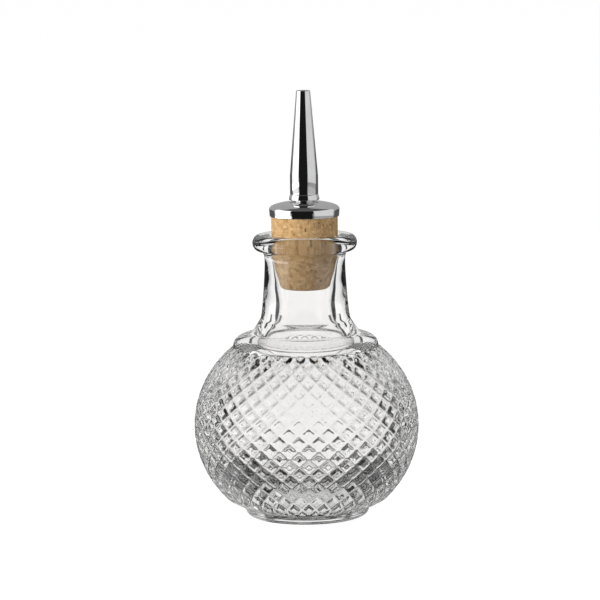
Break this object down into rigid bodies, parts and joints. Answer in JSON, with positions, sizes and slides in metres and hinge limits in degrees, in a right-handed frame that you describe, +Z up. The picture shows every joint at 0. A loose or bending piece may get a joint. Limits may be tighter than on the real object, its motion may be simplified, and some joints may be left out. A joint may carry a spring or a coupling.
{
  "type": "bitters bottle",
  "caption": "Round diamond-cut glass bitters bottle with a smooth neck and a lift-out cork dasher stopper with domed metal cap and tapered spout.",
  "frame": {"origin": "centre of the standing ring, on the table plane", "axes": "+Z up along the bottle's axis, from the foot to the spout's tip; the front is -Y"},
  "size_m": [0.0744, 0.0744, 0.1413],
  "materials": {
    "clear_glass": "clear pressed glass, fire polished, diamond-cut ball",
    "cork": "ground and bonded cork, matt",
    "polished_chrome": "mirror polished"
  },
  "bodies": {
    "bottle": {"glass_bottle": "clear_glass"},
    "stopper": {"cork_stopper": "cork", "dome_cap": "polished_chrome", "feed_tube": "polished_chrome", "spout": "polished_chrome"}
  },
  "joints": [
    {"name": "stopper_lift", "type": "slide", "parent": "bottle", "child": "stopper", "axis": [0, 0, 1], "range_m": [0, 0.024]}
  ]
}
